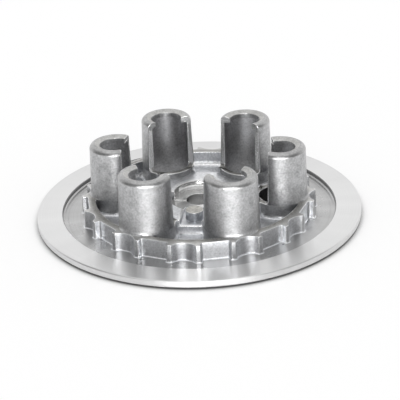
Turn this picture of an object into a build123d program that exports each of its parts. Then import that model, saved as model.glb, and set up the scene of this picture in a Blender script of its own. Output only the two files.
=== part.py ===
from build123d import *
import math
import os

# Friction ring, the raised outer band of the flange
PLATE_R = 75.0
FRICTION_WIDTH = 11.8
FRICTION_STEP = 2.4
RIM_UNDERCUT = 1.0
RIM_SEAT_WIDTH = 3.3
RIM_TOP_CHAMFER = 0.4
RIM_BOTTOM_CHAMFER = 0.6

# Recessed annulus between the friction ring and the castellations
ANNULUS_WIDTH = 6.8
ANNULUS_THICKNESS = 1.5

# Castellated ring, alternate curved and flat recesses between narrow teeth
FOOT_LEDGE = 2.4
RING_WALL = 4.8
CASTELLATION_HEIGHT = 8.2
CASTELLATION_PAIRS = 12
TOOTH_WIDTH = 2.0
CURVED_RECESS_WIDTH = 10.9
CURVED_RECESS_DEPTH = 2.9
FLAT_RECESS_DEPTH = 3.0
FLAT_RECESS_CORNER_R = 1.0
TOOTH_EDGE_CHAMFER = 0.3
RING_FOOT_CHAMFER = 0.7
LAND_EDGE_CHAMFER = 0.25

# Carrier web with the spring bores and the cast pockets
BORE_COUNT = 6
BORE_INSET = 11.4
SPRING_BORE_R = 9.9
COLLAR_WALL = 2.65
BORE_UNDERSIDE_CHAMFER = 0.6
POCKET_WALL = 1.6
POCKET_FLOOR_THICKNESS = 2.9
POCKET_OUTER_CORNER_R = 2.6
POCKET_INNER_CORNER_R = 1.4
POCKET_FLOOR_CHAMFER = 0.9
CENTRE_WEB_INSET = 8.5
CENTRE_WEB_DROP = 2.7

# Spring towers and the inward lips that the springs seat against
TOWER_HEIGHT = 24.7
TOWER_DRAFT = 0.7
OPENING_OFFSET = 4.6
LIP_THICKNESS = 3.2
LIP_LEDGE = 2.8
LIP_OUTER_ROUND = 2.4
LIP_CREST_WIDTH = 0.45
LIP_INNER_DROP = 0.9
LIP_SKIRT = 0.8
SEAT_CORNER_CHAMFER = 0.4

# Centre hub with its counterbored seat
HUB_R = 13.4
HUB_RISE = 1.1
SEAT_WALL = 2.4
SEAT_DEPTH = 4.2
SEAT_LEDGE = 5.4
HUB_EDGE_CHAMFER = 0.4
UNDER_RELIEF_WIDTH = 2.4
UNDER_RELIEF_DEPTH = 1.2
FRONT_SHELF_OFFSET = 1.8
FRONT_SHELF_DROP = 0.35

# Front slot with flared long edges and the index boss standing in it
SLOT_START = 8.6
SLOT_LENGTH = 19.0
SLOT_HALF_WIDTH = 5.4
SLOT_FLOOR_THICKNESS = 4.6
SLOT_CORNER_R = 1.6
SLOT_FLARE = 1.2
BOSS_R = 4.0
BOSS_GAP = 3.7
BOSS_HEIGHT = 4.4
BOSS_EDGE_CHAMFER = 0.25

# Radii and levels that follow from the sizes above, from the rim inwards and from the bottom up
FRICTION_INNER_R = PLATE_R - FRICTION_WIDTH
RIM_SEAT_R = FRICTION_INNER_R + RIM_SEAT_WIDTH
RING_FOOT_R = FRICTION_INNER_R - ANNULUS_WIDTH
TIP_R = RING_FOOT_R - FOOT_LEDGE
RING_INNER_R = TIP_R - RING_WALL
POCKET_OUTER_R = RING_INNER_R - POCKET_WALL
BORE_CENTRE_R = RING_INNER_R - BORE_INSET
CENTRE_WEB_APOTHEM = BORE_CENTRE_R - CENTRE_WEB_INSET
COLLAR_R = SPRING_BORE_R + COLLAR_WALL
TOWER_SHOULDER_R = COLLAR_R - TOWER_DRAFT
LIP_HOLE_R = SPRING_BORE_R - LIP_LEDGE
LIP_CREST_R = TOWER_SHOULDER_R - LIP_OUTER_ROUND - LIP_CREST_WIDTH
SEAT_R = HUB_R - SEAT_WALL
HUB_BORE_R = SEAT_R - SEAT_LEDGE
FRICTION_TOP_Z = ANNULUS_THICKNESS + FRICTION_STEP
LAND_Z = ANNULUS_THICKNESS + CASTELLATION_HEIGHT
CENTRE_WEB_Z = LAND_Z - CENTRE_WEB_DROP
TOWER_TOP_Z = LAND_Z + TOWER_HEIGHT
SPRING_SEAT_Z = TOWER_TOP_Z - LIP_THICKNESS
SLEEVE_TOP_Z = SPRING_SEAT_Z - LIP_SKIRT
HUB_TOP_Z = LAND_Z + HUB_RISE
SEAT_FLOOR_Z = HUB_TOP_Z - SEAT_DEPTH
FRONT_SHELF_Z = SEAT_FLOOR_Z - FRONT_SHELF_DROP

# Naming, placing and cutting
TOWER_NAMES = ["front_right", "right", "back_right", "back_left", "left", "front_left"]
FULL_TURN = 360.0
FRONT_ANGLE = -90.0
BORE_PITCH = FULL_TURN / BORE_COUNT
RECESS_PITCH = FULL_TURN / CASTELLATION_PAIRS
OVER = 1.0
NEAR = 0.01


def disc(radius, z0, z1):
    return Pos(0, 0, z0) * extrude(Circle(radius), z1 - z0)


def turned(points):
    section = make_face(Polyline(*[(r, 0, z) for r, z in points], close=True))
    return revolve(section, Axis.Z, FULL_TURN)


def tower_places():
    places = []
    for i in range(BORE_COUNT):
        angle = FRONT_ANGLE + (i + 0.5) * BORE_PITCH
        x = BORE_CENTRE_R * math.cos(math.radians(angle))
        y = BORE_CENTRE_R * math.sin(math.radians(angle))
        places.append((x, y, angle))
    return places


def friction_ring():
    bevel = RIM_TOP_CHAMFER
    under = RIM_BOTTOM_CHAMFER
    return turned([
        (FRICTION_INNER_R, 0),
        (RIM_SEAT_R, 0),
        (RIM_SEAT_R + RIM_UNDERCUT, RIM_UNDERCUT),
        (PLATE_R - under, RIM_UNDERCUT),
        (PLATE_R, RIM_UNDERCUT + under),
        (PLATE_R, FRICTION_TOP_Z - bevel),
        (PLATE_R - bevel, FRICTION_TOP_Z),
        (FRICTION_INNER_R + bevel, FRICTION_TOP_Z),
        (FRICTION_INNER_R, FRICTION_TOP_Z - bevel),
    ])


def recessed_annulus():
    return disc(FRICTION_INNER_R, 0, ANNULUS_THICKNESS) - disc(RING_FOOT_R, -OVER, LAND_Z)


def flat_recess_half_width():
    curved_half_angle = math.asin(CURVED_RECESS_WIDTH / 2 / TIP_R)
    tooth_angle = TOOTH_WIDTH / TIP_R
    return TIP_R * math.sin(math.radians(RECESS_PITCH / 2) - tooth_angle - curved_half_angle)


def curved_recess(angle):
    half = CURVED_RECESS_WIDTH / 2
    floor_r = TIP_R - CURVED_RECESS_DEPTH
    rise = math.sqrt(TIP_R ** 2 - half ** 2) - floor_r
    radius = (half ** 2 + rise ** 2) / (2 * rise)
    return Rot(0, 0, angle) * Pos(floor_r + radius, 0) * Circle(radius)


def flat_recess(angle):
    depth = FLAT_RECESS_DEPTH + OVER
    shape = Pos(TIP_R + OVER - depth / 2, 0) * Rectangle(depth, 2 * flat_recess_half_width())
    floor_corners = shape.vertices().sort_by(Axis.X)[:2]
    return Rot(0, 0, angle) * fillet(floor_corners, FLAT_RECESS_CORNER_R)


def castellated_outline():
    outline = Circle(TIP_R)
    for i in range(CASTELLATION_PAIRS):
        outline -= curved_recess(FRONT_ANGLE + i * RECESS_PITCH)
        outline -= flat_recess(FRONT_ANGLE + (i + 0.5) * RECESS_PITCH)
    tips = [v for v in outline.vertices() if abs(math.hypot(v.X, v.Y) - TIP_R) < NEAR]
    return chamfer(tips, TOOTH_EDGE_CHAMFER)


def castellated_ring():
    wall = Pos(0, 0, ANNULUS_THICKNESS) * extrude(castellated_outline(), CASTELLATION_HEIGHT)
    wall = chamfer(wall.faces().sort_by(Axis.Z)[-1].edges(), LAND_EDGE_CHAMFER)
    ring = wall + disc(RING_FOOT_R, 0, ANNULUS_THICKNESS)
    ledge = [f for f in ring.faces().filter_by(Axis.Z) if abs(f.center().Z - ANNULUS_THICKNESS) < NEAR]
    ring = chamfer(ledge[0].inner_wires()[0].edges(), RING_FOOT_CHAMFER)
    return ring - disc(RING_INNER_R, -OVER, LAND_Z + OVER)


def collar_circles(radius):
    circles = [Pos(x, y) * Circle(radius) for x, y, _ in tower_places()]
    return Sketch() + circles


def centre_outline():
    return RegularPolygon(CENTRE_WEB_APOTHEM, BORE_COUNT, major_radius=False)


def pocket_outlines():
    region = Circle(POCKET_OUTER_R) - centre_outline() - collar_circles(COLLAR_R)
    pockets = []
    for face in region.faces():
        outer = [v for v in face.vertices() if math.hypot(v.X, v.Y) > POCKET_OUTER_R - NEAR]
        shape = fillet(outer, POCKET_OUTER_CORNER_R)
        inner = [v for v in shape.vertices() if math.hypot(v.X, v.Y) < BORE_CENTRE_R]
        pockets.append(fillet(inner, POCKET_INNER_CORNER_R))
    return pockets


def front_slot():
    centre_y = -(SLOT_START + SLOT_LENGTH / 2)
    width = 2 * SLOT_HALF_WIDTH
    shape = RectangleRounded(width, SLOT_LENGTH, SLOT_CORNER_R)
    slot = Pos(0, centre_y, SLOT_FLOOR_THICKNESS) * extrude(shape, LAND_Z)
    mouth = Rectangle(width, SLOT_LENGTH - 2 * SLOT_CORNER_R - 2 * SLOT_FLARE)
    flare = extrude(mouth, SLOT_FLARE, taper=-45)
    return slot + Pos(0, centre_y, CENTRE_WEB_Z - SLOT_FLARE) * flare


def spring_carrier():
    body = disc(RING_INNER_R, 0, LAND_Z)
    for outline in pocket_outlines():
        cutter = Pos(0, 0, POCKET_FLOOR_THICKNESS) * extrude(outline, LAND_Z)
        cutter = chamfer(cutter.faces().sort_by(Axis.Z)[0].edges(), POCKET_FLOOR_CHAMFER)
        body -= cutter
    centre = centre_outline() - collar_circles(COLLAR_R)
    body -= Pos(0, 0, CENTRE_WEB_Z) * extrude(centre, LAND_Z)
    body -= Pos(0, 0, -OVER) * extrude(collar_circles(SPRING_BORE_R), LAND_Z + 2 * OVER)
    body -= disc(HUB_R, -OVER, LAND_Z)
    body -= front_slot()
    rims = [
        e for e in body.edges().filter_by(GeomType.CIRCLE)
        if abs(e.center().Z) < NEAR and abs(e.radius - SPRING_BORE_R) < NEAR
    ]
    return chamfer(rims, BORE_UNDERSIDE_CHAMFER)


def tower_sleeve_at_origin():
    sleeve = turned([
        (SPRING_BORE_R, LAND_Z),
        (COLLAR_R, LAND_Z),
        (TOWER_SHOULDER_R, SLEEVE_TOP_Z),
        (SPRING_BORE_R, SLEEVE_TOP_Z),
    ])
    return sleeve - opening_cut()


def tower_lip_at_origin():
    corner = SEAT_CORNER_CHAMFER
    lip = turned([
        (SPRING_BORE_R, SLEEVE_TOP_Z),
        (TOWER_SHOULDER_R, SLEEVE_TOP_Z),
        (TOWER_SHOULDER_R, TOWER_TOP_Z),
        (LIP_CREST_R, TOWER_TOP_Z),
        (LIP_HOLE_R, TOWER_TOP_Z - LIP_INNER_DROP),
        (LIP_HOLE_R, SPRING_SEAT_Z),
        (SPRING_BORE_R - corner, SPRING_SEAT_Z),
        (SPRING_BORE_R, SPRING_SEAT_Z - corner),
    ])
    top = [e for e in lip.edges().filter_by(GeomType.CIRCLE) if e.center().Z > TOWER_TOP_Z - NEAR]
    crown = [e for e in top if e.radius > TOWER_SHOULDER_R - NEAR]
    return fillet(crown, LIP_OUTER_ROUND) - opening_cut()


def opening_cut():
    reach = COLLAR_R + OVER
    depth = reach - OPENING_OFFSET
    height = TOWER_TOP_Z + OVER - LAND_Z
    return Pos(-OPENING_OFFSET - depth / 2, 0, LAND_Z + height / 2) * Box(depth, 2 * reach, height)


def placed_at_tower(shape, place):
    x, y, angle = place
    return Pos(x, y) * Rot(0, 0, angle) * shape


def centre_hub():
    bevel = HUB_EDGE_CHAMFER
    relief_r = HUB_BORE_R + UNDER_RELIEF_WIDTH
    hub = turned([
        (HUB_BORE_R, UNDER_RELIEF_DEPTH),
        (relief_r, UNDER_RELIEF_DEPTH),
        (relief_r, 0),
        (HUB_R, 0),
        (HUB_R, HUB_TOP_Z - bevel),
        (HUB_R - bevel, HUB_TOP_Z),
        (SEAT_R + bevel, HUB_TOP_Z),
        (SEAT_R, HUB_TOP_Z - bevel),
        (SEAT_R, SEAT_FLOOR_Z),
        (HUB_BORE_R, SEAT_FLOOR_Z),
    ])
    reach = HUB_R + OVER
    shelf = Box(2 * reach, reach, LAND_Z)
    hub -= Pos(0, -FRONT_SHELF_OFFSET - reach / 2, FRONT_SHELF_Z + LAND_Z / 2) * shelf
    return hub - front_slot()


def index_boss():
    centre_y = -(SLOT_START + BOSS_GAP + BOSS_R)
    top_z = SLOT_FLOOR_THICKNESS + BOSS_HEIGHT
    boss = Pos(0, centre_y) * disc(BOSS_R, SLOT_FLOOR_THICKNESS, top_z)
    return chamfer(boss.faces().sort_by(Axis.Z)[-1].edges(), BOSS_EDGE_CHAMFER)


def main():
    os.makedirs("parts", exist_ok=True)
    nodes = {
        "friction_ring": friction_ring(),
        "recessed_annulus": recessed_annulus(),
        "castellated_ring": castellated_ring(),
        "spring_carrier": spring_carrier(),
        "centre_hub": centre_hub(),
        "index_boss": index_boss(),
    }
    sleeve = tower_sleeve_at_origin()
    lip = tower_lip_at_origin()
    for name, place in zip(TOWER_NAMES, tower_places()):
        nodes["spring_tower_" + name] = placed_at_tower(sleeve, place)
        nodes["spring_seat_lip_" + name] = placed_at_tower(lip, place)
    for name, shape in nodes.items():
        export_step(shape, "parts/" + name + ".step")
        print(name, len(shape.solids()), round(shape.volume, 1))


main()
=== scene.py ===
# %% [markdown]
# # Clutch pressure plate
# The object is one aluminium casting that a lathe and a mill have finished in places.
# The solids arrive at their real size, so this lesson is about the look of the metal:
# rough shot-blasted skin on the towers, turned rings that catch the light in fans,
# and thin bright edges where a cutter has just passed, which also get a painted highlight.
# Everything is made in metres, in the frame the solids already stand in.

# %% Load the frame
import math

import bmesh
import bpy
from mathutils import Matrix, Vector


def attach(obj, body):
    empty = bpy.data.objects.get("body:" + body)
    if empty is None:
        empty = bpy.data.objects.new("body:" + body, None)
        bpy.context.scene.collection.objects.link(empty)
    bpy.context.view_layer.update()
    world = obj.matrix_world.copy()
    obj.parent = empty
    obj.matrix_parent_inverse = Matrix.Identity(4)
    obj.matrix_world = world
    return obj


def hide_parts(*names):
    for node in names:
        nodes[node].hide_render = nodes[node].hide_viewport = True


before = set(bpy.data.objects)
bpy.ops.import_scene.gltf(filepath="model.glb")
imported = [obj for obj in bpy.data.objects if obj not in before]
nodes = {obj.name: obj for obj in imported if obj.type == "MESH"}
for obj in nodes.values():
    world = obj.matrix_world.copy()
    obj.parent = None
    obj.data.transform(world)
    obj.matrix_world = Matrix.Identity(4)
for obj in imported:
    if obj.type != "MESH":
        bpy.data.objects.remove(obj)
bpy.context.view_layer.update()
MM = 0.001

# %% [markdown]
# ## The camera
# The photograph was taken with a long lens from a low angle. Its place was worked out from
# the ellipse of the rim and the edges of the towers, so the render can be laid over the photograph.
# A camera can be aimed with a constraint or by hand. Here its three axes are written out,
# because the small roll of the original is then a plain number.

# %% Camera
IMAGE_SIDE = 400
FOCAL_PIXELS = 1338.9
SENSOR_WIDTH = 36.0
CAMERA_DISTANCE = 0.6239
CAMERA_ELEVATION = math.radians(25.685)
CAMERA_AZIMUTH = math.radians(8.05)
CAMERA_ROLL = math.radians(-2.382)
AIM_HEIGHT = 0.001
AIM_PIXEL = (199.32, 209.5)


def place_camera():
    level = CAMERA_DISTANCE * math.cos(CAMERA_ELEVATION)
    height = CAMERA_DISTANCE * math.sin(CAMERA_ELEVATION)
    offset = Vector((level * math.sin(CAMERA_AZIMUTH), -level * math.cos(CAMERA_AZIMUTH), height))
    forward = -offset.normalized()
    right = forward.cross(Vector((0, 0, 1))).normalized()
    up = right.cross(forward)
    right_rolled = right * math.cos(CAMERA_ROLL) + up * math.sin(CAMERA_ROLL)
    up_rolled = up * math.cos(CAMERA_ROLL) - right * math.sin(CAMERA_ROLL)
    data = bpy.data.cameras.new("camera")
    data.sensor_width = SENSOR_WIDTH
    data.lens = FOCAL_PIXELS / IMAGE_SIDE * SENSOR_WIDTH
    data.shift_x = (IMAGE_SIDE / 2 - AIM_PIXEL[0]) / IMAGE_SIDE
    data.shift_y = (AIM_PIXEL[1] - IMAGE_SIDE / 2) / IMAGE_SIDE
    data.clip_start = 0.01
    camera = bpy.data.objects.new("camera", data)
    turn = Matrix((right_rolled, up_rolled, -forward)).transposed().to_4x4()
    camera.matrix_world = Matrix.Translation(offset + Vector((0, 0, AIM_HEIGHT))) @ turn
    bpy.context.collection.objects.link(camera)
    bpy.context.scene.camera = camera
    return camera


camera = place_camera()
print("camera at", [round(v, 4) for v in camera.location], "lens", round(camera.data.lens, 1))

# %% [markdown]
# ## The studio
# Bare metal has hardly any colour of its own. What is seen on it is the room, so the room
# is designed: white behind the object and overhead, darker on the photographer's side.
# The world could be one plain grey, but metal in an even grey room looks like putty. So the
# camera sees pure white, metal sees a soft change from front to back, and matt surfaces get
# an even light. Three weak softboxes, which only the metal mirrors, add the highlights.
# The floor is white paper, and its shadow comes from how much of the room the object hides.

# %% Small helpers for shader trees
def new_tree(owner):
    owner.use_nodes = True
    tree = owner.node_tree
    tree.nodes.clear()
    return tree


def add(tree, kind, **settings):
    node = tree.nodes.new(kind)
    for key, value in settings.items():
        setattr(node, key, value)
    return node


def feed(tree, target, value):
    """Links a socket to the target, or sets the target where a number or a colour is given."""
    if isinstance(value, bpy.types.NodeSocket):
        tree.links.new(value, target)
    else:
        target.default_value = value


def math_node(tree, operation, first, second=0.0):
    node = add(tree, "ShaderNodeMath", operation=operation)
    feed(tree, node.inputs[0], first)
    feed(tree, node.inputs[1], second)
    return node.outputs[0]


def spread(tree, value, low, high, to_low, to_high, smooth=False):
    """Maps a value from one range to another, with soft ends where smooth is set."""
    node = add(tree, "ShaderNodeMapRange", interpolation_type="SMOOTHSTEP" if smooth else "LINEAR")
    for socket, given in zip(node.inputs, (value, low, high, to_low, to_high)):
        feed(tree, socket, given)
    return node.outputs[0]


def mix_shaders(tree, factor, first, second):
    node = add(tree, "ShaderNodeMixShader")
    for socket, given in zip(node.inputs, (factor, first, second)):
        feed(tree, socket, given)
    return node.outputs[0]


# %% World
FRONT_TONE = 0.2
BACK_TONE = 1.0
TOP_TONE = 1.0
EVEN_LIGHT = 1.0
DARK_UNTIL, BRIGHT_FROM = -0.30, 0.70
TOP_STARTS, TOP_FULL = 0.55, 0.90


def background(tree, tone):
    node = add(tree, "ShaderNodeBackground")
    feed(tree, node.inputs["Color"], tone)
    return node.outputs[0]


def light_world():
    world = bpy.data.worlds.new("studio")
    bpy.context.scene.world = world
    tree = new_tree(world)
    direction = add(tree, "ShaderNodeTexCoord").outputs["Generated"]
    parts = add(tree, "ShaderNodeSeparateXYZ")
    feed(tree, parts.inputs[0], direction)
    level = spread(tree, parts.outputs["Y"], DARK_UNTIL, BRIGHT_FROM, FRONT_TONE, BACK_TONE, smooth=True)
    overhead = spread(tree, parts.outputs["Z"], TOP_STARTS, TOP_FULL, 0.0, TOP_TONE, smooth=True)
    for_metal = background(tree, math_node(tree, "MAXIMUM", level, overhead))
    for_matt = background(tree, (EVEN_LIGHT, EVEN_LIGHT, EVEN_LIGHT, 1))
    for_camera = background(tree, (1, 1, 1, 1))
    rays = add(tree, "ShaderNodeLightPath").outputs
    mirrored = math_node(tree, "MAXIMUM", rays["Is Glossy Ray"], rays["Is Transmission Ray"])
    lit = mix_shaders(tree, mirrored, for_matt, for_metal)
    seen = mix_shaders(tree, rays["Is Camera Ray"], lit, for_camera)
    feed(tree, add(tree, "ShaderNodeOutputWorld").inputs["Surface"], seen)


light_world()
bpy.context.scene.view_settings.view_transform = "Standard"
print("world runs from", FRONT_TONE, "in front to", BACK_TONE, "behind and", TOP_TONE, "overhead")

# %% Softboxes
SOFTBOXES = {
    "overhead": ((0.0, -0.12, 0.75), (0, 0, 0), (0.70, 0.35), 0.2),
    "beside_camera": ((0.11, -0.75, 0.37), (0, 0, 0.01), (0.30, 0.20), 0.8),
    "front_card": ((0.05, -0.30, 0.04), (0, 0, 0.015), (0.30, 0.08), 0.7),
}


def softbox(name, place, aim, size, watts):
    data = bpy.data.lights.new(name, "AREA")
    data.shape = "RECTANGLE"
    data.size, data.size_y = size
    data.energy = watts
    lamp = bpy.data.objects.new(name, data)
    lamp.location = place
    lamp.rotation_euler = (Vector(aim) - Vector(place)).to_track_quat("-Z", "Y").to_euler()
    lamp.visible_diffuse = False
    bpy.context.collection.objects.link(lamp)


for name, (place, aim, size, watts) in SOFTBOXES.items():
    softbox(name, place, aim, size, watts)
    print("softbox", name, watts, "W")

# %% Floor
FLOOR_REACH = 4.0
TONE_IN_METAL = 0.95
CONTACT_REACH = 0.04
SHADOW_TONE = 0.12
SHADOW_FULL, SHADOW_GONE = 0.2, 0.84
GLOW_SHARE = 0.5


def floor_material():
    """The camera sees white with a contact shadow; metal sees nearly white paper."""
    material = bpy.data.materials.new("white_sweep")
    tree = new_tree(material)
    seen = add(tree, "ShaderNodeLightPath").outputs["Is Camera Ray"]
    contact = add(tree, "ShaderNodeAmbientOcclusion", samples=16)
    contact.inputs["Distance"].default_value = CONTACT_REACH
    shade = spread(tree, contact.outputs["AO"], SHADOW_FULL, SHADOW_GONE, SHADOW_TONE, 1.0, smooth=True)
    paper = add(tree, "ShaderNodeBsdfDiffuse")
    feed(tree, paper.inputs["Color"], spread(tree, seen, 0.0, 1.0, TONE_IN_METAL, shade))
    glow = add(tree, "ShaderNodeEmission")
    feed(tree, glow.inputs["Color"], shade)
    share = math_node(tree, "MULTIPLY", seen, GLOW_SHARE)
    mixed = mix_shaders(tree, share, paper.outputs[0], glow.outputs[0])
    feed(tree, add(tree, "ShaderNodeOutputMaterial").inputs["Surface"], mixed)
    return material


def lay_floor():
    mesh = bpy.data.meshes.new("floor")
    reach = FLOOR_REACH
    corners = [(-reach, -reach, 0), (reach, -reach, 0), (reach, reach, 0), (-reach, reach, 0)]
    mesh.from_pydata(corners, [], [(0, 1, 2, 3)])
    mesh.materials.append(floor_material())
    floor = bpy.data.objects.new("floor", mesh)
    bpy.context.collection.objects.link(floor)


lay_floor()
print("floor white to the camera,", TONE_IN_METAL, "to metal, shadow within", CONTACT_REACH / MM, "mm")

# %% [markdown]
# ## Effects that several finishes share
# Three effects come back on most of the surfaces, so each is built once as a node group:
# the grain of a shot-blasted casting, the fine circles that a turning tool leaves,
# and the shine along edges, a painted highlight with the lower roughness of a polished edge. Pictures of
# scratches would have to be unwrapped onto every piece, so all of it is noise in the object's own space. The
# shine follows an attribute called edge_shine that the mesh code writes where it rounds an edge, so it stays
# put from every side. A second attribute, deep_shade, paints shade on places that only ever mirror dark
# metal.

# %% Start a node group
SURFACE_OUTPUTS = {"Color": "NodeSocketColor", "Roughness": "NodeSocketFloat", "Height": "NodeSocketFloat"}


def new_group(name, inputs):
    """Each input has a name and a first value. A value with four parts is a colour."""
    group = bpy.data.node_groups.new(name, "ShaderNodeTree")
    for label, value in inputs.items():
        kind = "NodeSocketColor" if isinstance(value, tuple) else "NodeSocketFloat"
        socket = group.interface.new_socket(name=label, in_out="INPUT", socket_type=kind)
        socket.default_value = value
    for label, kind in SURFACE_OUTPUTS.items():
        group.interface.new_socket(name=label, in_out="OUTPUT", socket_type=kind)
    return group, group.nodes.new("NodeGroupInput"), group.nodes.new("NodeGroupOutput")


def noise(tree, place, scale, detail, roughness=0.5, dimensions="3D"):
    """Noise that swings round zero, by place in space or along one number."""
    node = add(tree, "ShaderNodeTexNoise", noise_dimensions=dimensions)
    feed(tree, node.inputs["W" if dimensions == "1D" else "Vector"], place)
    feed(tree, node.inputs["Scale"], scale)
    node.inputs["Detail"].default_value = detail
    node.inputs["Roughness"].default_value = roughness
    return node.outputs["Fac"], math_node(tree, "SUBTRACT", node.outputs["Fac"], 0.5)


def scaled_colour(tree, colour, factor):
    node = add(tree, "ShaderNodeVectorMath", operation="SCALE")
    feed(tree, node.inputs[0], colour)
    feed(tree, node.inputs["Scale"], factor)
    return node.outputs[0]


print("every surface group puts out", list(SURFACE_OUTPUTS))

# %% Cast grain
SPECKLE_WEIGHT = 1.1
SWING_OF_PATCHES = 4.0
ROUGHNESS_SWING = 0.25
COARSE_BUMP = 0.5


def build_cast_grain():
    inputs = {
        "Color": (0.5, 0.5, 0.5, 1),
        "Grain Scale": 1200.0,
        "Patch Scale": 220.0,
        "Patch Contrast": 0.15,
        "Roughness": 0.4,
    }
    tree, given, result = new_group("cast_grain", inputs)
    place = add(tree, "ShaderNodeTexCoord").outputs["Object"]
    grain, speckle = noise(tree, place, given.outputs["Grain Scale"], 3.0)
    patch, patches = noise(tree, place, given.outputs["Patch Scale"], 5.0, roughness=0.65)
    both = math_node(tree, "ADD", patches, math_node(tree, "MULTIPLY", speckle, SPECKLE_WEIGHT))
    swing = math_node(tree, "MULTIPLY", both, given.outputs["Patch Contrast"])
    factor = math_node(tree, "ADD", math_node(tree, "MULTIPLY", swing, SWING_OF_PATCHES), 1.0)
    feed(tree, result.inputs["Color"], scaled_colour(tree, given.outputs["Color"], factor))
    change = math_node(tree, "MULTIPLY", patches, ROUGHNESS_SWING)
    feed(tree, result.inputs["Roughness"], math_node(tree, "SUBTRACT", given.outputs["Roughness"], change))
    coarse = math_node(tree, "MULTIPLY", patch, COARSE_BUMP)
    feed(tree, result.inputs["Height"], math_node(tree, "ADD", grain, coarse))
    return tree


cast_grain = build_cast_grain()
print("group", cast_grain.name, "with", len(cast_grain.nodes), "nodes")

# %% Turning marks
CLOUD_SCALE = 45.0
FAN_SCALE = 5.0
LINE_WEIGHT = 2.0
FAN_WEIGHT = 4.0
DULLING = 0.12


def radius_and_bearing(tree, place):
    flat = add(tree, "ShaderNodeVectorMath", operation="MULTIPLY")
    feed(tree, flat.inputs[0], place)
    feed(tree, flat.inputs[1], (1, 1, 0))
    radius = add(tree, "ShaderNodeVectorMath", operation="LENGTH")
    feed(tree, radius.inputs[0], flat.outputs[0])
    parts = add(tree, "ShaderNodeSeparateXYZ")
    feed(tree, parts.inputs[0], place)
    return radius.outputs["Value"], math_node(tree, "ARCTAN2", parts.outputs["X"], parts.outputs["Y"])


def build_turning_marks():
    inputs = {
        "Color": (0.7, 0.7, 0.7, 1),
        "Marks per Metre": 2500.0,
        "Contrast": 0.1,
        "Fan Contrast": 0.1,
        "Roughness": 0.3,
    }
    tree, given, result = new_group("turning_marks", inputs)
    place = add(tree, "ShaderNodeTexCoord").outputs["Object"]
    radius, bearing = radius_and_bearing(tree, place)
    marks, lines = noise(tree, radius, given.outputs["Marks per Metre"], 2.0, dimensions="1D")
    _, haze = noise(tree, place, CLOUD_SCALE, 4.0)
    _, fans = noise(tree, bearing, FAN_SCALE, 2.0, dimensions="1D")
    both = math_node(tree, "ADD", math_node(tree, "MULTIPLY", lines, LINE_WEIGHT), haze)
    texture = math_node(tree, "MULTIPLY", both, given.outputs["Contrast"])
    fan = math_node(tree, "MULTIPLY", fans, FAN_WEIGHT)
    swing = math_node(tree, "ADD", texture, math_node(tree, "MULTIPLY", fan, given.outputs["Fan Contrast"]))
    factor = math_node(tree, "ADD", swing, 1.0)
    feed(tree, result.inputs["Color"], scaled_colour(tree, given.outputs["Color"], factor))
    duller = math_node(tree, "ADD", given.outputs["Roughness"], math_node(tree, "MULTIPLY", haze, DULLING))
    feed(tree, result.inputs["Roughness"], duller)
    feed(tree, result.inputs["Height"], marks)
    return tree


turning_marks = build_turning_marks()
print("group", turning_marks.name, "with", len(turning_marks.nodes), "nodes")

# %% Edge shine
COLOUR_LEFT_IN_SHADE = 0.5
POLISHED = 0.8
BUMP_LEFT_WHEN_POLISHED = 0.1


def blended(tree, kind, factor, first, second):
    """The Mix node keeps its sockets for colours and for numbers at different places."""
    low, high, out = (6, 7, 2) if kind == "RGBA" else (2, 3, 0)
    node = add(tree, "ShaderNodeMix", data_type=kind)
    for index, given in ((0, factor), (low, first), (high, second)):
        feed(tree, node.inputs[index], given)
    return node.outputs[out]


def build_edge_shine():
    inputs = {
        "Color": (0.5, 0.5, 0.5, 1),
        "Edge Color": (0.93, 0.93, 0.93, 1),
        "Roughness": 0.4,
        "Edge Roughness": 0.25,
        "Height": 0.0,
    }
    tree, given, result = new_group("edge_shine", inputs)
    # edge_shine lightens the colour towards Edge Color as a painted highlight and lowers the roughness as on
    # a polished edge; deep_shade darkens the colour as painted shade.
    mask = add(tree, "ShaderNodeAttribute", attribute_name="edge_shine").outputs["Fac"]
    deep = add(tree, "ShaderNodeAttribute", attribute_name="deep_shade").outputs["Fac"]
    brightness = spread(tree, deep, 0.0, 1.0, 1.0, COLOUR_LEFT_IN_SHADE)
    shaded = scaled_colour(tree, given.outputs["Color"], brightness)
    colour = blended(tree, "RGBA", mask, shaded, given.outputs["Edge Color"])
    rough = blended(tree, "FLOAT", mask, given.outputs["Roughness"], given.outputs["Edge Roughness"])
    smoothed = spread(tree, mask, 0.0, POLISHED, 1.0, BUMP_LEFT_WHEN_POLISHED)
    feed(tree, result.inputs["Color"], colour)
    feed(tree, result.inputs["Roughness"], rough)
    feed(tree, result.inputs["Height"], math_node(tree, "MULTIPLY", given.outputs["Height"], smoothed))
    return tree


edge_shine = build_edge_shine()
print("group", edge_shine.name, "with", len(edge_shine.nodes), "nodes")

# %% [markdown]
# ## The finishes
# Every surface is the same alloy, so all finishes share one recipe: a metallic shader, one
# group for the surface texture, the edge shine group, and a bump. Only the numbers differ.
# Turned faces also stretch their highlights across the tool marks, which real turned
# metal does, and that is what makes bright fans on a flat ring.

# %% One recipe for all the metal
QUARTER_TURN = 0.25


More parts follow.
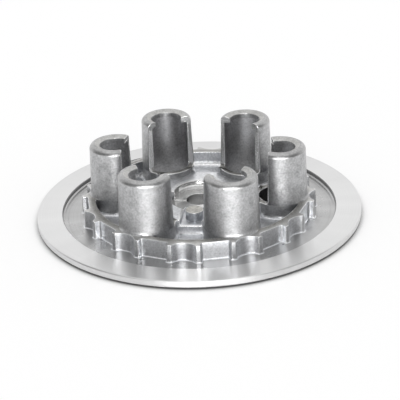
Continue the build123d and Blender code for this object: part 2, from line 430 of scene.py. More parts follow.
def metal(name, texture, colour, roughness, bump=0.5, depth=0.05, stretch=0.0, edge=0.25, **values):
    """The depth of the bumps is in millimetres. Capitalised values go to the texture group's inputs."""
    material = bpy.data.materials.new(name)
    tree = new_tree(material)
    shader = add(tree, "ShaderNodeBsdfPrincipled")
    shader.inputs["Metallic"].default_value = 1.0
    surface = add(tree, "ShaderNodeGroup", node_tree=texture)
    surface.inputs["Color"].default_value = (*colour, 1)
    surface.inputs["Roughness"].default_value = roughness
    for label, value in values.items():
        surface.inputs[label.replace("_", " ")].default_value = value
    worn = add(tree, "ShaderNodeGroup", node_tree=edge_shine)
    for label in ("Color", "Roughness", "Height"):
        feed(tree, worn.inputs[label], surface.outputs[label])
    worn.inputs["Edge Roughness"].default_value = edge
    relief = add(tree, "ShaderNodeBump")
    relief.inputs["Strength"].default_value = bump
    relief.inputs["Distance"].default_value = depth * MM
    feed(tree, relief.inputs["Height"], worn.outputs["Height"])
    feed(tree, shader.inputs["Base Color"], worn.outputs["Color"])
    feed(tree, shader.inputs["Roughness"], worn.outputs["Roughness"])
    feed(tree, shader.inputs["Normal"], relief.outputs["Normal"])
    if stretch:
        shader.inputs["Anisotropic"].default_value = stretch
        shader.inputs["Anisotropic Rotation"].default_value = QUARTER_TURN
        around = add(tree, "ShaderNodeTangent", direction_type="RADIAL", axis="Z")
        feed(tree, shader.inputs["Tangent"], around.outputs["Tangent"])
    feed(tree, add(tree, "ShaderNodeOutputMaterial").inputs["Surface"], shader.outputs[0])
    return material


# %% Turned finishes
turned_face = metal(
    "turned_face", turning_marks, (0.74, 0.74, 0.74), roughness=0.30, bump=0.15, depth=0.02, stretch=0.8,
    Contrast=0.05, Fan_Contrast=0.03)
turned_recess = metal(
    "turned_recess", turning_marks, (0.50, 0.50, 0.50), roughness=0.28, bump=0.2, depth=0.02, stretch=0.8,
    Contrast=0.12, Fan_Contrast=0.10)
# Painted shade: the inner step wall of the friction ring is given a dark colour that stands in for shade.
step_painted_shade = metal(
    "step_painted_shade", turning_marks, (0.22, 0.22, 0.22), roughness=0.45, bump=0.2, depth=0.02, Contrast=0.12)
turned_seat = metal(
    "turned_seat", turning_marks, (0.70, 0.70, 0.695), roughness=0.24, bump=0.2, depth=0.02,
    Contrast=0.14, Fan_Contrast=0.05)
print("turned finishes", [m.name for m in (turned_face, turned_recess, step_painted_shade, turned_seat)])

# %% Milled and sawn finishes
milled_wall = metal(
    "milled_wall", cast_grain, (0.74, 0.75, 0.77), roughness=0.33, bump=0.25, depth=0.03, Patch_Contrast=0.18)
# A lighter copy of the milled wall: partly bright milled metal, partly a painted highlight where it is used.
milled_and_highlight = metal(
    "milled_and_highlight", cast_grain, (0.92, 0.93, 0.94), roughness=0.36, bump=0.3, depth=0.03, Patch_Contrast=0.14)
web_face = metal("web_face", cast_grain, (0.77, 0.78, 0.80), roughness=0.40, bump=0.4, Patch_Contrast=0.16)
pocket_floor = metal(
    "pocket_floor", cast_grain, (0.58, 0.59, 0.61), roughness=0.40, bump=0.4, Patch_Contrast=0.2)
sawn_boss = metal(
    "sawn_boss", cast_grain, (0.52, 0.51, 0.48), roughness=0.52, bump=0.7, depth=0.06, Patch_Contrast=0.3)
print("milled finishes", [m.name for m in (milled_wall, milled_and_highlight, web_face, pocket_floor, sawn_boss)])

# %% Cast finishes
cast_land = metal("cast_land", cast_grain, (0.35, 0.345, 0.33), roughness=0.50, Patch_Contrast=0.25)
cast_web = metal("cast_web", cast_grain, (0.40, 0.415, 0.44), roughness=0.40, Patch_Contrast=0.25)
cast_tower = metal("cast_tower", cast_grain, (0.47, 0.472, 0.478), roughness=0.37, Patch_Contrast=0.23)
# Painted shade: a darker copy of the tower skin for the round of each crown.
crown_painted_shade = metal("crown_painted_shade", cast_grain, (0.38, 0.38, 0.38), roughness=0.36, Patch_Contrast=0.23)
cast_lip = metal("cast_lip", cast_grain, (0.47, 0.467, 0.455), roughness=0.44, edge=0.42, Patch_Contrast=0.22)
# Painted light: the bore walls are a lighter copy of the tower skin, standing in for the light inside the
# bores.
bore_painted_light = metal(
    "bore_painted_light", cast_grain, (0.58, 0.58, 0.59), roughness=0.36, bump=0.45, Patch_Contrast=0.22)
# Painted shade: a near-black finish for the bore below the open side of a tower, where only shade falls.
bore_painted_shade = metal("bore_painted_shade", cast_grain, (0.06, 0.06, 0.06), roughness=0.50, Patch_Contrast=0.25)
print("cast finishes", [m.name for m in (cast_land, cast_web, cast_tower, crown_painted_shade, cast_lip)])
print("bore finishes", bore_painted_light.name, bore_painted_shade.name)

# %% [markdown]
# ## Tools for making the pieces
# A ring or a tower is a drawn section swept round an axis. Real edges are never sharp, so the
# section is drawn with a radius at each corner, and the helper turns corners into short arcs.
# It also notes where the arcs are, because those edges get the shine.

# %% Draw a section with rounded corners
SHINE_AT_ARC_ENDS = 0.3


def rounded(corners, steps=5):
    """A corner is (across, up), then its radius and shine if any. Returns (point, shine) pairs."""
    line = []
    for i, corner in enumerate(corners):
        across, up, radius, shine = (*corner, 0.0, 0.0)[:4]
        here = Vector((across, up))
        if radius <= 0:
            line.append((here, 0.0))
            continue
        before = (Vector(corners[i - 1][:2]) - here).normalized()
        after = (Vector(corners[(i + 1) % len(corners)][:2]) - here).normalized()
        half = before.angle(after) / 2
        centre = here + (before + after).normalized() * (radius / math.sin(half))
        start = here + before * (radius / math.tan(half)) - centre
        end = here + after * (radius / math.tan(half)) - centre
        sweep = math.atan2(start.x * end.y - start.y * end.x, start.dot(end))
        for k in range(steps + 1):
            turn = Matrix.Rotation(sweep * k / steps, 2)
            line.append((centre + turn @ start, shine if 0 < k < steps else shine * SHINE_AT_ARC_ENDS))
    return line


def offset_line(points, distance):
    """Moves a closed counter-clockwise line outwards by a distance, corner by corner."""
    moved = []
    for i, here in enumerate(points):
        before = (here - points[i - 1]).normalized()
        after = (points[(i + 1) % len(points)] - here).normalized()
        normal = Vector((before.y + after.y, -before.x - after.x)).normalized()
        moved.append(here + normal * (distance / max(0.5, normal.dot(Vector((after.y, -after.x))))))
    return moved


# %% Small helpers for meshes
def polar(radius, angle, height):
    """A place in metres, from a radius and a height in millimetres."""
    return radius * math.cos(angle) * MM, radius * math.sin(angle) * MM, height * MM


def bridge(bm, first, second):
    """Joins two closed loops of points with a band of faces."""
    count = len(first)
    band = []
    for i in range(count):
        j = (i + 1) % count
        band.append(bm.faces.new((first[i], first[j], second[j], second[i])))
    return band


def fill_between(bm, edges):
    made = bmesh.ops.triangle_fill(bm, use_beauty=True, edges=edges)
    return [part for part in made["geom"] if isinstance(part, bmesh.types.BMFace)]


# %% Turn a mesh into a finished piece
def settle(name, bm, node_names, finishes, sharp=40):
    bmesh.ops.recalc_face_normals(bm, faces=bm.faces)
    mesh = bpy.data.meshes.new(name)
    bm.to_mesh(mesh)
    bm.free()
    for finish in finishes:
        mesh.materials.append(finish)
    mesh.shade_smooth()
    mesh.set_sharp_from_angle(angle=math.radians(sharp))
    piece = bpy.data.objects.new(name, mesh)
    bpy.context.collection.objects.link(piece)
    flatter = piece.modifiers.new("large_faces_lead", "WEIGHTED_NORMAL")
    flatter.keep_sharp = True
    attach(piece, "root")
    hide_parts(*node_names)
    print(name, len(mesh.polygons), "faces")


# %% Sweep a section right round the axis
AROUND = 240
STEP_FACES_AXIS = 0.7


def lathe(name, corners, node_name, finish, step_shade_finish=None):
    bm = bmesh.new()
    shine = bm.verts.layers.float.new("edge_shine")
    section = rounded(corners)
    rings = []
    for k in range(AROUND):
        ring = []
        for point, bright in section:
            vert = bm.verts.new(polar(point.x, 2 * math.pi * k / AROUND, point.y))
            vert[shine] = bright
            ring.append(vert)
        rings.append(ring)
    for k in range(AROUND):
        bridge(bm, rings[k], rings[(k + 1) % AROUND])
    finishes = [finish]
    if step_shade_finish:
        finishes.append(step_shade_finish)
        bmesh.ops.recalc_face_normals(bm, faces=bm.faces)
        for face in bm.faces:
            middle = face.calc_center_median()
            inward = -(face.normal.x * middle.x + face.normal.y * middle.y) / math.hypot(middle.x, middle.y)
            # Faces turned towards the axis get the painted shade.
            face.material_index = 1 if inward > STEP_FACES_AXIS else 0
    settle(name, bm, [node_name], finishes)


# %% [markdown]
# ## The two turned rings
# The outer band is the friction face that presses on the clutch plates, turned bright. Inside it
# lies a recessed annulus, turned in the same setting and left duller. Both are plain rings,
# so both are sections swept round the axis. The rim stands a little off the table, which is
# why a thin dark line runs below it.

# %% Friction ring
PLATE_R = 75.0
FRICTION_INNER_R = 63.2
FRICTION_TOP = 3.9
FOOT_OUTER_R = 66.5
UNDERCUT = 1.0
RIM_LOW, RIM_BEVEL = 0.8, 0.5
TOP_CHAMFER = 0.4
STEP_CHAMFER = 0.35
lathe("friction_ring_turned", [
    (FRICTION_INNER_R, 0.0),
    (FOOT_OUTER_R, 0.0, 0.2),
    (FOOT_OUTER_R + UNDERCUT, UNDERCUT, 0.3),
    (PLATE_R - RIM_BEVEL, RIM_LOW, 0.15),
    (PLATE_R, RIM_LOW + RIM_BEVEL, 0.3),
    (PLATE_R, FRICTION_TOP - TOP_CHAMFER, 0.2),
    (PLATE_R - TOP_CHAMFER, FRICTION_TOP, 0.2, 0.1),
    (FRICTION_INNER_R + STEP_CHAMFER, FRICTION_TOP, 0.2, 0.3),
    (FRICTION_INNER_R, FRICTION_TOP - STEP_CHAMFER, 0.2, 0.2),
], "friction_ring", turned_face, step_painted_shade)

# %% Recessed annulus
ANNULUS_TOP = 1.5
RING_FOOT_R = 56.4
CORNER_COVE = 0.5
GROOVE_R = 60.85
GROOVE_HALF_WIDTH = 0.15
GROOVE_DEPTH = 0.12
lathe("recessed_annulus_turned", [
    (RING_FOOT_R, 0.0),
    (FRICTION_INNER_R, 0.0),
    (FRICTION_INNER_R, ANNULUS_TOP + CORNER_COVE),
    (FRICTION_INNER_R - CORNER_COVE, ANNULUS_TOP, CORNER_COVE),
    (GROOVE_R + GROOVE_HALF_WIDTH, ANNULUS_TOP),
    (GROOVE_R, ANNULUS_TOP - GROOVE_DEPTH),
    (GROOVE_R - GROOVE_HALF_WIDTH, ANNULUS_TOP),
    (RING_FOOT_R, ANNULUS_TOP),
], "recessed_annulus", turned_recess)

# %% [markdown]
# ## The castellated ring
# Twenty-four recesses, curved and flat in turn, leave narrow teeth that engage the inner hub.
# One way is to cut the recesses with booleans, but then the soft radius at the foot is hard
# to add. So the outline is drawn once, with its corners rounded, and lifted in steps:
# each step moves it outwards or inwards a little, which makes the foot radius, the slight
# lean of a cast wall and the rounded top edge in one go.

# %% Corners of one curved and one flat recess
TIP_R = 54.0
PAIRS = 12
CURVED_WIDTH = 10.9
CURVED_DEPTH = 2.9
FLAT_DEPTH = 3.0
TOOTH_WIDTH = 2.0
TOOTH_EDGE = 0.3
TOOTH_SHINE = 0.75
ROOT_RADIUS = 1.25
ARC_STEPS = 14
FRONT = -math.pi / 2


def turn_corner(corner, angle):
    out, along, radius, shine = corner
    across = out * math.cos(angle) - along * math.sin(angle)
    up = out * math.sin(angle) + along * math.cos(angle)
    return across, up, radius, shine


def curved_recess():
    """The curve is an arc through both tooth edges that is as deep as the recess."""
    half = CURVED_WIDTH / 2
    floor_r = TIP_R - CURVED_DEPTH
    rise = TIP_R * math.cos(math.asin(half / TIP_R)) - floor_r
    arc_r = (half ** 2 + rise ** 2) / (2 * rise)
    arc_angle = math.asin(half / arc_r)
    corners = []
    for k in range(ARC_STEPS + 1):
        t = arc_angle * (2 * k / ARC_STEPS - 1)
        edge = TOOTH_EDGE if k in (0, ARC_STEPS) else 0.0
        corners.append((floor_r + arc_r - arc_r * math.cos(t), arc_r * math.sin(t), edge, TOOTH_SHINE))
    return corners


def flat_recess(half_angle):
    reach = TIP_R * math.cos(half_angle)
    side = TIP_R * math.sin(half_angle)
    floor_r = TIP_R - FLAT_DEPTH
    return [
        (reach, -side, TOOTH_EDGE, TOOTH_SHINE), (floor_r, -side, ROOT_RADIUS, 0.0),
        (floor_r, side, ROOT_RADIUS, 0.0), (reach, side, TOOTH_EDGE, TOOTH_SHINE)]


# %% Outline of the castellations
def pair_corners(centre_angle):
    curved_half = math.asin(CURVED_WIDTH / 2 / TIP_R)
    tooth = TOOTH_WIDTH / TIP_R
    flat_half = math.pi / PAIRS - curved_half - tooth
    flat_angle = centre_angle + math.pi / PAIRS
    tip = (TIP_R, 0.0, 0.0, 0.0)
    corners = [turn_corner(corner, centre_angle) for corner in curved_recess()]
    corners.append(turn_corner(tip, centre_angle + curved_half + tooth / 2))
    corners += [turn_corner(corner, flat_angle) for corner in flat_recess(flat_half)]
    corners.append(turn_corner(tip, flat_angle + flat_half + tooth / 2))
    return corners


outline = []
for pair in range(PAIRS):
    outline += pair_corners(FRONT + pair * 2 * math.pi / PAIRS)
outline = rounded(outline, steps=4)
print("castellation outline has", len(outline), "points")

# %% Levels of the castellated wall
LAND = 9.7
FOOT_FILLET = 0.6
FOOT_STEPS = 5
FOOT_SHINE = 0.12
WALL_LEAN = 0.25
LAND_EDGE = 0.2
LAND_EDGE_STEPS = 3
LAND_EDGE_SHINE = 0.4


def wall_levels():
    """Lists (outward shift, height, shine) from the foot of the wall up to its top edge."""
    levels = []
    for k in range(FOOT_STEPS + 1):
        a = math.pi / 2 * k / FOOT_STEPS
        shift = WALL_LEAN + FOOT_FILLET * (1 - math.sin(a))
        height = ANNULUS_TOP + FOOT_FILLET * (1 - math.cos(a))
        levels.append((shift, height, FOOT_SHINE if 0 < k < FOOT_STEPS - 1 else 0.0))
    for k in range(LAND_EDGE_STEPS + 1):
        a = math.pi / 2 * k / LAND_EDGE_STEPS
        height = LAND - LAND_EDGE * (1 - math.sin(a))
        levels.append((-LAND_EDGE * (1 - math.cos(a)), height, LAND_EDGE_SHINE if k else 0.0))
    return levels


print("the wall rises in", len(wall_levels()), "levels")

# %% Lift the outline into a ring
RING_INNER_R = 49.2


def circle_loop(bm, radius, height):
    return [bm.verts.new(polar(radius, 2 * math.pi * k / AROUND, height)) for k in range(AROUND)]


def ring_edges(bm, loop):
    pairs = [(loop[i - 1], loop[i]) for i in range(len(loop))]
    return [bm.edges.get(pair) or bm.edges.new(pair) for pair in pairs]


def make_castellated_ring():
    bm = bmesh.new()
    shine = bm.verts.layers.float.new("edge_shine")
    points = [point for point, bright in outline]
    loops = []
    for shift, height, bright_level in wall_levels():
        loop = []
        for place, (_, bright) in zip(offset_line(points, shift), outline):
            vert = bm.verts.new((place.x * MM, place.y * MM, height * MM))
            vert[shine] = max(bright_level, bright if height > ANNULUS_TOP + FOOT_FILLET / 2 else 0.0)
            loop.append(vert)
        loops.append(loop)
    for low, high in zip(loops, loops[1:]):
        bridge(bm, low, high)
    foot, foot_low = circle_loop(bm, RING_FOOT_R, ANNULUS_TOP), circle_loop(bm, RING_FOOT_R, 0)
    inner_low, inner = circle_loop(bm, RING_INNER_R, 0), circle_loop(bm, RING_INNER_R, LAND)
    for first, second in ((foot_low, foot), (inner_low, foot_low), (inner, inner_low)):
        bridge(bm, first, second)
    finishes = [milled_wall, cast_land, turned_recess]
    for outer, within, finish in ((foot, loops[0], turned_recess), (loops[-1], inner, cast_land)):
        for face in fill_between(bm, ring_edges(bm, outer) + ring_edges(bm, within)):
            face.material_index = finishes.index(finish)
    settle("castellated_ring_milled", bm, ["castellated_ring"], finishes)


make_castellated_ring()

# %% [markdown]
# ## The carrier
# The middle is a cast web with six deep pockets, six spring bores and a slot at the front. Its
# outline is already right in the solid, so drawing it again would only risk mistakes: a copy of
# the solid is refined instead. Flat areas are merged, the pockets get the large cove that a
# casting needs between wall and floor, every hard edge gets a small round, and those
# rounds receive the shine.

# %% Copy a solid
ABOVE_TABLE = 0.01 * MM
SAME_POINT = 0.01 * MM
FLAT_WITHIN = math.radians(1.0)


def copied(node_name):
    """The underside keeps its triangles, because one large face with holes would shade badly."""
    bm = bmesh.new()
    bm.from_mesh(nodes[node_name].data)
    bmesh.ops.remove_doubles(bm, verts=bm.verts, dist=SAME_POINT)
    verts = [v for v in bm.verts if v.co.z > ABOVE_TABLE]
    edges = [e for e in bm.edges if max(v.co.z for v in e.verts) > ABOVE_TABLE]
    bmesh.ops.dissolve_limit(bm, angle_limit=FLAT_WITHIN, verts=verts, edges=edges)
    bmesh.ops.recalc_face_normals(bm, faces=bm.faces)
    return bm


def corner_layer(bm, name):
    return bm.loops.layers.float.get(name) or bm.loops.layers.float.new(name)


def mark(faces, layer, amount):
    for face in faces:
        for corner in face.loops:
            corner[layer] = amount


# %% Round chosen edges
HARD_EDGE = math.radians(60)


def round_edges(bm, width, wanted, shine_amount):
    shine = corner_layer(bm, "edge_shine")
    edges = []
    for edge in bm.edges:
        if len(edge.link_faces) == 2 and edge.is_convex and edge.calc_face_angle() > HARD_EDGE:
            if wanted((edge.verts[0].co + edge.verts[1].co) / 2 / MM):
                edges.append(edge)
    made = bmesh.ops.bevel(
        bm, geom=edges, offset=width * MM, offset_type="OFFSET", segments=3, profile=0.5, affect="EDGES",
        clamp_overlap=False, loop_slide=True)
    mark(made["faces"], shine, shine_amount)
    print("rounded", len(edges), "edges")


def shine_on_narrow_faces(bm, width, amount):
    """Chamfers are long narrow faces, so area over length finds them."""
    narrow = [
        face for face in bm.faces
        if 2 * face.calc_area() / face.calc_perimeter() < width * MM and face.normal.z > 0.2]
    mark(narrow, corner_layer(bm, "edge_shine"), amount)
    print("shine on", len(narrow), "chamfer faces")


# %% Open the pockets
POCKET_FLOOR = 2.9
CHAMFER_BAND = 0.8
LONGEST_EDGE = 1.5


def ordered_loops(edges):
    """Sorts loose boundary edges into closed loops of points, in the same order each run."""
    loops = []
    left = dict.fromkeys(edges)
    while left:
        edge, _ = left.popitem()
        first, here = edge.verts
        loop = [first, here]
        while True:
            edge = next((e for e in here.link_edges if e in left), None)
            if edge is None:
                break
            del left[edge]
            here = edge.other_vert(here)
            if here is first:
                break
            loop.append(here)
        loops.append(loop)
    return loops


def open_pockets(bm):
    """Takes out the flat floors with their chamfers, and divides the edges that are left."""
    old = []
    for face in bm.faces:
        z = face.calc_center_median().z / MM
        if POCKET_FLOOR - 0.1 < z < POCKET_FLOOR + CHAMFER_BAND and face.normal.z > 0.3:
            old.append(face)
    bmesh.ops.delete(bm, geom=old, context="FACES")
    for edge in [e for e in bm.edges if e.is_boundary and e.calc_length() > LONGEST_EDGE * MM]:
        bmesh.ops.subdivide_edges(bm, edges=[edge], cuts=int(edge.calc_length() / MM))
    loops = ordered_loops([e for e in bm.edges if e.is_boundary])
    print("pocket outlines with", [len(loop) for loop in loops], "points")
    return loops


# %% How far the cove of a pocket reaches
COVE_RADIUS = 2.6
SHARE_OF_CURVE = 0.75
REACH_SLOPE = 0.6
ALMOST_STRAIGHT = 0.02


def cove_reach(points):
    """How far the cove may come in at each point: less where the outline turns tightly."""
    count = len(points)
    reach = []
    for i, here in enumerate(points):
        before, after = here - points[i - 1], points[(i + 1) % count] - here
        turn = math.atan2(before.x * after.y - before.y * after.x, before.dot(after))
        tight = (before.length + after.length) / 2 / turn if turn > ALMOST_STRAIGHT else COVE_RADIUS
        reach.append(min(COVE_RADIUS, SHARE_OF_CURVE * tight))
    for i in list(range(2 * count)) + list(range(2 * count, 0, -1)):
        a, b = i % count, (i + 1) % count
        gap = (points[a] - points[b]).length
        reach[b] = min(reach[b], reach[a] + REACH_SLOPE * gap)
        reach[a] = min(reach[a], reach[b] + REACH_SLOPE * gap)
    return reach


print("coves reach", COVE_RADIUS, "mm at most")

# %% Sink a cove between wall and floor
COVE_STEPS = 6
OUTER_COVE_R = 44
COVE_SHINE, FLOOR_SHINE = 0.8, 0.1
PROBE = 0.1


def cove_shine(vert):
    """The cove near the outer wall gets a strong painted highlight, coves nearer the axis a faint one."""
    return COVE_SHINE if math.hypot(vert.co.x, vert.co.y) > OUTER_COVE_R * MM else FLOOR_SHINE


def sink_cove(bm, loop, shine):
    points = [Vector((v.co.x, v.co.y)) / MM for v in loop]
    area = sum(points[i - 1].x * p.y - points[i - 1].y * p.x for i, p in enumerate(points))
    if area < 0:
        loop.reverse()
        points.reverse()
    for vert in loop:
        vert.co.z = (POCKET_FLOOR + COVE_RADIUS) * MM
    inward = [here - outside for outside, here in zip(offset_line(points, PROBE), points)]
    reach = cove_reach(points)
    level = loop
    for k in range(1, COVE_STEPS + 1):
        a = math.pi / 2 * k / COVE_STEPS
        height = (POCKET_FLOOR + COVE_RADIUS * (1 - math.sin(a))) * MM
        below = []
        for point, way, far in zip(points, inward, reach):
            place = point + way.normalized() * (far * (1 - math.cos(a)))
            below.append(bm.verts.new((place.x * MM, place.y * MM, height)))
        for face in bridge(bm, level, below):
            for corner in face.loops:
                corner[shine] = cove_shine(corner.vert) if k > COVE_STEPS / 2 else 0.0
        level = below
    mark(fill_between(bm, ring_edges(bm, level)), shine, FLOOR_SHINE)


# %% Where a point of the carrier lies
BORE_CENTRE_R = 37.8
COLLAR_R = 12.55
BORE_R = 9.9
OPENING = 4.6
TOWER_STEP = math.pi / 3
NEAR = 0.3


def from_tower(centre):
    """Place of a point seen from the nearest tower's axis: outwards and along, and the tower's bearing."""
    angle = math.atan2(centre.y, centre.x) - FRONT
    bearing = (math.floor(angle / TOWER_STEP) + 0.5) * TOWER_STEP + FRONT
    turned = Matrix.Rotation(-bearing, 2) @ Vector((centre.x, centre.y))
    return Vector((turned.x - BORE_CENTRE_R, turned.y)), bearing


def trim_to_bores(bm):
    """A bevel can overshoot where three edges meet, so nothing may stand inside a spring bore."""
    moved = 0
    for vert in bm.verts:
        place, bearing = from_tower(vert.co / MM)
        if place.length < BORE_R - 0.02:
            onto = Vector((BORE_CENTRE_R, 0)) + place.normalized() * BORE_R
            onto = Matrix.Rotation(bearing, 2) @ onto
            vert.co.x, vert.co.y = onto.x * MM, onto.y * MM
            moved += 1
    print("moved", moved, "points back to the bore walls")


print("six towers stand on a radius of", BORE_CENTRE_R, "mm")

# %% Edges and faces of the carrier
WEB_TOP = 7.0
WEB_CORNER_R = 26
SLOT_HALF_WIDTH = 5.4
SLOT_FLARE = 1.2
SLOT_END = 27
POCKET_START_R = 27
OUTER_CORNER_R = 43
ON_LEVEL = 0.05
UPRIGHT, LYING = 0.4, 0.8
CARRIER_FINISHES = [
    cast_web, cast_land, cast_tower, bore_painted_light, milled_and_highlight,
    milled_wall, web_face, bore_painted_shade, pocket_floor]


def carrier_edge(middle):
    radius = math.hypot(middle.x, middle.y)
    place, _ = from_tower(middle)
    near_rim = min(abs(place.length - COLLAR_R), abs(place.length - BORE_R)) < NEAR
    under_tower = place.x > -OPENING - 0.1 and near_rim
    on_land = middle.z > LAND - ON_LEVEL and not under_tower and radius < RING_INNER_R - NEAR
    on_web = abs(middle.z - WEB_TOP) < ON_LEVEL and radius > WEB_CORNER_R
    return on_land or on_web


def carrier_finish(centre, normal):
    radius = math.hypot(centre.x, centre.y)
    place, bearing = from_tower(centre)
    away = (Matrix.Rotation(-bearing, 2) @ Vector((normal.x, normal.y))).dot(place.normalized())
    upright = abs(normal.z) < UPRIGHT
    if upright and abs(place.length - COLLAR_R) < 0.5 and away > 0.9:
        return cast_tower
    if upright and place.length < BORE_R + NEAR:
        # Below the open side of a tower the bore gets painted shade, elsewhere the lighter painted-light bore
        # finish.
        return bore_painted_light if place.x > -OPENING - 0.5 else bore_painted_shade
    by_slot = abs(centre.x) < SLOT_HALF_WIDTH + SLOT_FLARE and centre.y < 0 and centre.z > 5
    # The flared sides of the slot get the bright finish, partly a painted highlight.
    if by_slot and 0.4 < normal.z < 0.9:
        return milled_and_highlight
    if POCKET_FLOOR + 0.2 < centre.z < LAND - 0.1 and radius > POCKET_START_R and normal.z < 0.7:
        to_axis = -(normal.x * centre.x + normal.y * centre.y) / radius
        # The coves beside the outer wall get the bright finish as a painted highlight.
        return milled_and_highlight if radius > OUTER_CORNER_R and to_axis < 0.95 else milled_wall
    in_slot = abs(centre.x) < SLOT_HALF_WIDTH and -SLOT_END < centre.y < 0 and 0.5 < centre.z < WEB_TOP
    if in_slot or (abs(centre.z - WEB_TOP) < 0.4 and normal.z > LYING):
        return web_face
    if 1 < centre.z < POCKET_FLOOR + 0.2 and normal.z > 0.7:
        return pocket_floor
    return cast_land if centre.z > LAND - 0.35 and normal.z > 0.5 else cast_web


def paint(bm, finishes, choose):
    for face in bm.faces:
        face.material_index = finishes.index(choose(face.calc_center_median() / MM, face.normal))


# %% Spring carrier
CAST_SHARP = 50
COLLAR_SHADE = 0.4


def shade_collars(bm):
    """Paints shade on the foot of each collar, which stands in a pocket and mirrors only dark metal."""
    index = CARRIER_FINISHES.index(cast_tower)
    collars = [face for face in bm.faces if face.material_index == index]
    mark(collars, corner_layer(bm, "deep_shade"), COLLAR_SHADE)


bm = copied("spring_carrier")
shine = corner_layer(bm, "edge_shine")
for loop in open_pockets(bm):
    sink_cove(bm, loop, shine)
bmesh.ops.recalc_face_normals(bm, faces=bm.faces)
round_edges(bm, width=0.35, wanted=carrier_edge, shine_amount=0.8)
trim_to_bores(bm)
paint(bm, CARRIER_FINISHES, carrier_finish)
shade_collars(bm)
settle("spring_carrier_cast", bm, ["spring_carrier"], CARRIER_FINISHES, sharp=CAST_SHARP)

# %% [markdown]
# ## The hub and the boss
# In the middle a low hub carries a turned seat with a polished top and a bore right through, and
# a short sawn-off boss stands in the slot before it. Both are small, and a sweep could make
# the hub, but the slot cuts into it. So these two are refined copies as well.

# %% Centre hub
SLOT_START = 8.6
HUB_R = 13.4
HUB_TOP = 10.8
HUB_BORE_R = 5.6
HUB_FINISHES = [turned_seat, web_face, turned_recess, milled_and_highlight]


def hub_edge(middle):
    return middle.z > 1 and math.hypot(middle.x, middle.y) < HUB_R - NEAR


def hub_finish(centre, normal):
    if abs(normal.z) < 0.3 and math.hypot(centre.x, centre.y) < HUB_BORE_R + 0.2:
        return turned_recess
    # The hub's top takes the same bright finish, partly a painted highlight.
    if centre.z > HUB_TOP - NEAR and normal.z > LYING:
        return milled_and_highlight
    in_slot = centre.y < -SLOT_START + 1 and abs(centre.x) < SLOT_HALF_WIDTH + NEAR
    return web_face if in_slot or centre.z < 0.5 else turned_seat


bm = copied("centre_hub")
shine_on_narrow_faces(bm, width=0.45, amount=0.3)
round_edges(bm, width=0.2, wanted=hub_edge, shine_amount=0.3)
paint(bm, HUB_FINISHES, hub_finish)
settle("centre_hub_turned", bm, ["centre_hub"], HUB_FINISHES, sharp=CAST_SHARP)

# %% Index boss
BOSS_FINISHES = [sawn_boss, cast_web]


def boss_finish(centre, normal):
    return sawn_boss if normal.z > 0.5 else cast_web


bm = copied("index_boss")
shine_on_narrow_faces(bm, width=0.3, amount=0.5)
paint(bm, BOSS_FINISHES, boss_finish)
settle("index_boss_sawn", bm, ["index_boss"], BOSS_FINISHES, sharp=CAST_SHARP)

# %% [markdown]
# ## The spring towers
# Each tower is a tube that was cast with one side left open towards the axis. The spring goes in
# from below and pushes against the lip round the hole at the top. A tube cut by a plane
# is awkward to round along the cut, so the section is swept only between the two sides of the
# cut, and near the ends it shrinks a little, which rounds the cut edges.

# %% Section of a tower
SHOULDER_R = 11.85
LIP_HOLE_R = 7.1
TOWER_TOP = 34.4
SEAT_Z = 31.2
SEAM_Z = 30.4
CROWN_RADIUS = 2.4
CROWN_FLAT_R = 9.0
DISH_DEPTH = 0.9
# The heights at the foot lie close together, because its small radii are bent from them.
FOOT_INSIDE = (1.5, 1.0, 0.6, 0.3, 0.0)
FOOT_OUTSIDE = ((0.0, 0.0), (0.3, 0.01), (0.6, 0.02), (1.0, 0.04), (1.7, 0.06))
tower_section = rounded([
    *((BORE_R, LAND + rise) for rise in FOOT_INSIDE),
    *((COLLAR_R - draft, LAND + rise) for rise, draft in FOOT_OUTSIDE),
    (SHOULDER_R, SEAM_Z),
    (SHOULDER_R, TOWER_TOP, CROWN_RADIUS, 0.1),
    (CROWN_FLAT_R, TOWER_TOP, 1.0, 0.1),
    (LIP_HOLE_R, TOWER_TOP - DISH_DEPTH, 0.5, 0.3),
    (LIP_HOLE_R, SEAT_Z, 0.3),
    (BORE_R, SEAT_Z, 0.4),
    (BORE_R, SEAM_Z),
], steps=8)
print("tower section has", len(tower_section), "points")

# %% What changes along the sweep
LIP_SETBACK = 1.3
FOOT_CORNER = 1.5
FLARE, FLARE_HEIGHT = 0.7, 1.7
FLARE_ENDS = math.radians(42)
SHADE_STARTS, SHADE_WIDTH = math.radians(45), math.radians(50)
SHADE_HEIGHT = 8
SHADE_POWER = 1.5


def held(value):
    """Holds a value between 0 and 1."""
    return min(1.0, max(0.0, value))


def cut_at(radius, height):
    """Where the opening is cut: the lip is set back a little, and the foot has rounded corners."""
    back = held((BORE_R - radius) / (BORE_R - LIP_HOLE_R)) if height > SEAM_Z else 0.0
    low = held(1 - (height - LAND) / FOOT_CORNER)
    return OPENING - LIP_SETBACK * back + FOOT_CORNER * (1 - math.sqrt(1 - low * low))


def foot_flare(height, angle):
    """A small radius where the tower stands on the land, on its outer side only."""
    on_land = max(0.0, 1 - (abs(angle) / FLARE_ENDS) ** 4)
    rise = held(1 - (height - LAND) / FLARE_HEIGHT)
    return FLARE * on_land * (1 - math.sqrt(1 - rise ** 2))


def side_shade(height, angle):
    """Painted shade for the foot of a sleeve between two towers, which sees only its neighbour and so looks
    darker.
    """
    beside = held((abs(angle) - SHADE_STARTS) / SHADE_WIDTH)
    low = held(1 - (height - LAND) / SHADE_HEIGHT)
    return beside ** SHADE_POWER * low ** SHADE_POWER


print("a tower's foot spreads by", FLARE, "mm, its lip is set back by", LIP_SETBACK, "mm")

# %% Sweep the section between the sides of the opening
CUT_ROUND = 0.35
# The rounded cut edges get a strong painted highlight.
CUT_SHINE = 0.9
SWEEP_STEPS = 44


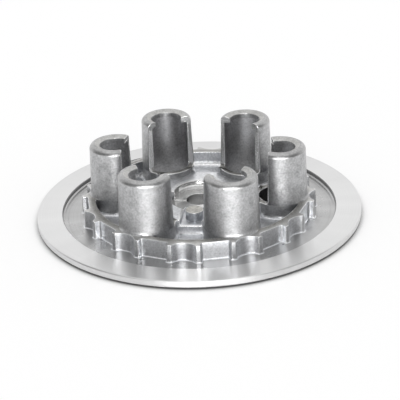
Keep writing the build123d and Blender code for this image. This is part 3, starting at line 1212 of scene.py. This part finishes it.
def sweep_stations():
    """Lists (how far the section shrinks, how far it stays back from the cut, place from -1 to 1)."""
    ends = [(CUT_ROUND, 0.0), (CUT_ROUND * 0.3, CUT_ROUND * 0.3)]
    stations = [(inset, back, -1.0) for inset, back in ends]
    stations += [(0.0, CUT_ROUND, 2 * k / SWEEP_STEPS - 1) for k in range(SWEEP_STEPS + 1)]
    return stations + [(inset, back, 1.0) for inset, back in reversed(ends)]


def tower_loops(bm):
    shine = bm.verts.layers.float.new("edge_shine")
    deep = bm.verts.layers.float.new("deep_shade")
    points = [point for point, bright in tower_section]
    loops = []
    for inset, back, t in sweep_stations():
        loop = []
        for (radius, height), (drawn, bright) in zip(offset_line(points, -inset), tower_section):
            if drawn.y <= LAND:
                height = LAND
            angle = t * math.acos(-(cut_at(drawn.x, drawn.y) - back) / radius)
            if drawn.x > SHOULDER_R and drawn.y < LAND + FLARE_HEIGHT + 0.1:
                radius += foot_flare(drawn.y, angle)
            vert = bm.verts.new(polar(radius, angle, height))
            vert[shine] = max(bright, CUT_SHINE if inset else 0.0)
            vert[deep] = side_shade(height, angle) if radius > BORE_R + 0.5 else 0.0
            loop.append(vert)
        loops.append(loop)
    return loops


print("a tower is swept through", len(sweep_stations()), "sections")

# %% Give each side of a tower its own finish
SKIN, BORE, WALL, CROWN = range(4)


def tower_finish(middle, normal):
    radius = math.hypot(middle.x, middle.y)
    if radius < BORE_R + 0.05 and middle.z < SEAT_Z:
        return BORE
    if middle.z > SEAM_Z and normal.z < 0.2:
        return WALL
    # The round of the crown gets the painted shade.
    return CROWN if middle.z > TOWER_TOP - CROWN_RADIUS and radius > CROWN_FLAT_R + 0.3 else SKIN


def make_tower_mesh():
    bm = bmesh.new()
    loops = tower_loops(bm)
    for first, second in zip(loops, loops[1:]):
        bridge(bm, first, second)
    bm.faces.new(loops[0])
    bm.faces.new(loops[-1])
    bmesh.ops.recalc_face_normals(bm, faces=bm.faces)
    for face in bm.faces:
        face.material_index = tower_finish(face.calc_center_median() / MM, face.normal)
    return bm


# %% Split each tower into its sleeve and its lip
TOWER_NAMES = ["front_right", "right", "back_right", "back_left", "left", "front_left"]
SLEEVE_FINISHES = [cast_tower, bore_painted_light]
LIP_FINISHES = [cast_lip, bore_painted_light, cast_tower, crown_painted_shade]


def keep_part(bm, above):
    """Cuts the tower at the seam, keeps one part and closes the cut."""
    cut = bmesh.ops.bisect_plane(
        bm, geom=bm.verts[:] + bm.edges[:] + bm.faces[:], plane_co=(0, 0, SEAM_Z * MM), plane_no=(0, 0, 1),
        clear_inner=above, clear_outer=not above, dist=1e-6)
    fill_between(bm, [g for g in cut["geom_cut"] if isinstance(g, bmesh.types.BMEdge) and g.is_boundary])


def place_tower(bm, index):
    turn = Matrix.Rotation(FRONT + (index + 0.5) * TOWER_STEP, 4, "Z")
    out = Matrix.Translation((BORE_CENTRE_R * MM, 0, 0))
    bmesh.ops.transform(bm, matrix=turn @ out, verts=bm.verts)


for index, tower in enumerate(TOWER_NAMES):
    sleeve = make_tower_mesh()
    keep_part(sleeve, above=False)
    place_tower(sleeve, index)
    settle("tower_sleeve_" + tower, sleeve, ["spring_tower_" + tower], SLEEVE_FINISHES)
    lip = make_tower_mesh()
    keep_part(lip, above=True)
    place_tower(lip, index)
    settle("tower_lip_" + tower, lip, ["spring_seat_lip_" + tower], LIP_FINISHES)
